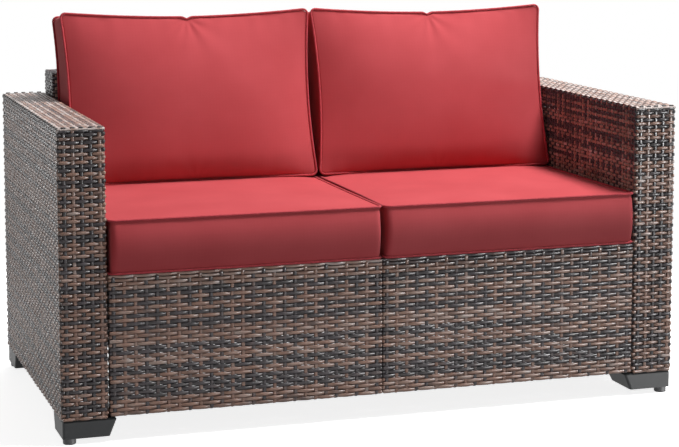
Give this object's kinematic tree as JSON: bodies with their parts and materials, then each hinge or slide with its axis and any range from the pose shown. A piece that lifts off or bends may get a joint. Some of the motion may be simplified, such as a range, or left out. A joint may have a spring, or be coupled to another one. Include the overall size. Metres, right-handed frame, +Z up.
{
  "type": "patio loveseat",
  "caption": "Woven patio loveseat with box arms, low corner feet, loose box seat cushions and leaning back cushions with corded seams.",
  "frame": {"origin": "on the floor, at the middle of the overall width and depth", "axes": "+X to the right as seen from the front, +Y from the front to the back, +Z up"},
  "size_m": [1.27, 0.691, 0.7819],
  "materials": {
    "powder_coated_steel": "satin",
    "woven_wicker": "satin",
    "foot_plastic": "matte",
    "glide_plastic": "matte",
    "zinc_steel": "satin",
    "cushion_fabric": "matte",
    "cushion_foam": "matte",
    "piping_fabric": "matte",
    "zip_tape": "matte",
    "slider_metal": "satin"
  },
  "bodies": {
    "seat_frame": {"left_arm_frame": "powder_coated_steel", "left_arm_wicker": "woven_wicker", "left_seat_frame": "powder_coated_steel", "left_seat_wicker": "woven_wicker", "left_back_frame": "powder_coated_steel", "left_back_wicker": "woven_wicker", "right_arm_frame": "powder_coated_steel", "right_arm_wicker": "woven_wicker", "right_seat_frame": "powder_coated_steel", "right_seat_wicker": "woven_wicker", "right_back_frame": "powder_coated_steel", "right_back_wicker": "woven_wicker", "front_left_foot": "foot_plastic", "front_right_foot": "foot_plastic", "rear_left_foot": "foot_plastic", "rear_right_foot": "foot_plastic", "glide_bushes": "zinc_steel", "foot_screws": "zinc_steel", "frame_bolts": "zinc_steel", "bolt_washers": "zinc_steel", "rivet_inserts": "zinc_steel"},
    "front_left_glide": {"front_left_glide_pad": "glide_plastic", "front_left_glide_stud": "zinc_steel"},
    "front_right_glide": {"front_right_glide_pad": "glide_plastic", "front_right_glide_stud": "zinc_steel"},
    "rear_left_glide": {"rear_left_glide_pad": "glide_plastic", "rear_left_glide_stud": "zinc_steel"},
    "rear_right_glide": {"rear_right_glide_pad": "glide_plastic", "rear_right_glide_stud": "zinc_steel"},
    "left_seat_cushion": {"left_seat_cover": "cushion_fabric", "left_seat_core": "cushion_foam", "left_seat_piping": "piping_fabric", "left_seat_zip": "zip_tape"},
    "left_seat_zip_slider": {"left_seat_slider": "slider_metal"},
    "left_back_cushion": {"left_back_cover": "cushion_fabric", "left_back_core": "cushion_foam", "left_back_piping": "piping_fabric", "left_back_zip": "zip_tape"},
    "left_back_zip_slider": {"left_back_slider": "slider_metal"},
    "right_seat_cushion": {"right_seat_cover": "cushion_fabric", "right_seat_core": "cushion_foam", "right_seat_piping": "piping_fabric", "right_seat_zip": "zip_tape"},
    "right_seat_zip_slider": {"right_seat_slider": "slider_metal"},
    "right_back_cushion": {"right_back_cover": "cushion_fabric", "right_back_core": "cushion_foam", "right_back_piping": "piping_fabric", "right_back_zip": "zip_tape"},
    "right_back_zip_slider": {"right_back_slider": "slider_metal"}
  },
  "joints": [
    {"name": "front_left_glide_screw", "type": "slide", "parent": "seat_frame", "child": "front_left_glide", "axis": [0, 0, -1], "range_m": [0, 0.01]},
    {"name": "front_right_glide_screw", "type": "slide", "parent": "seat_frame", "child": "front_right_glide", "axis": [0, 0, -1], "range_m": [0, 0.01]},
    {"name": "rear_left_glide_screw", "type": "slide", "parent": "seat_frame", "child": "rear_left_glide", "axis": [0, 0, -1], "range_m": [0, 0.01]},
    {"name": "rear_right_glide_screw", "type": "slide", "parent": "seat_frame", "child": "rear_right_glide", "axis": [0, 0, -1], "range_m": [0, 0.01]},
    {"name": "left_seat_cushion_slide", "type": "slide", "parent": "seat_frame", "child": "left_seat_cushion", "axis": [0, -1, 0], "range_m": [0, 0.6]},
    {"name": "left_seat_zip_run", "type": "slide", "parent": "left_seat_cushion", "child": "left_seat_zip_slider", "axis": [1, 0, 0], "range_m": [0, 0.42]},
    {"name": "left_back_cushion_lift", "type": "slide", "parent": "seat_frame", "child": "left_back_cushion", "axis": [0, 0, 1], "range_m": [0, 0.45]},
    {"name": "left_back_zip_run", "type": "slide", "parent": "left_back_cushion", "child": "left_back_zip_slider", "axis": [1, 0, 0], "range_m": [0, 0.42]},
    {"name": "right_seat_cushion_slide", "type": "slide", "parent": "seat_frame", "child": "right_seat_cushion", "axis": [0, -1, 0], "range_m": [0, 0.6]},
    {"name": "right_seat_zip_run", "type": "slide", "parent": "right_seat_cushion", "child": "right_seat_zip_slider", "axis": [1, 0, 0], "range_m": [0, 0.42]},
    {"name": "right_back_cushion_lift", "type": "slide", "parent": "seat_frame", "child": "right_back_cushion", "axis": [0, 0, 1], "range_m": [0, 0.45]},
    {"name": "right_back_zip_run", "type": "slide", "parent": "right_back_cushion", "child": "right_back_zip_slider", "axis": [1, 0, 0], "range_m": [0, 0.42]}
  ]
}
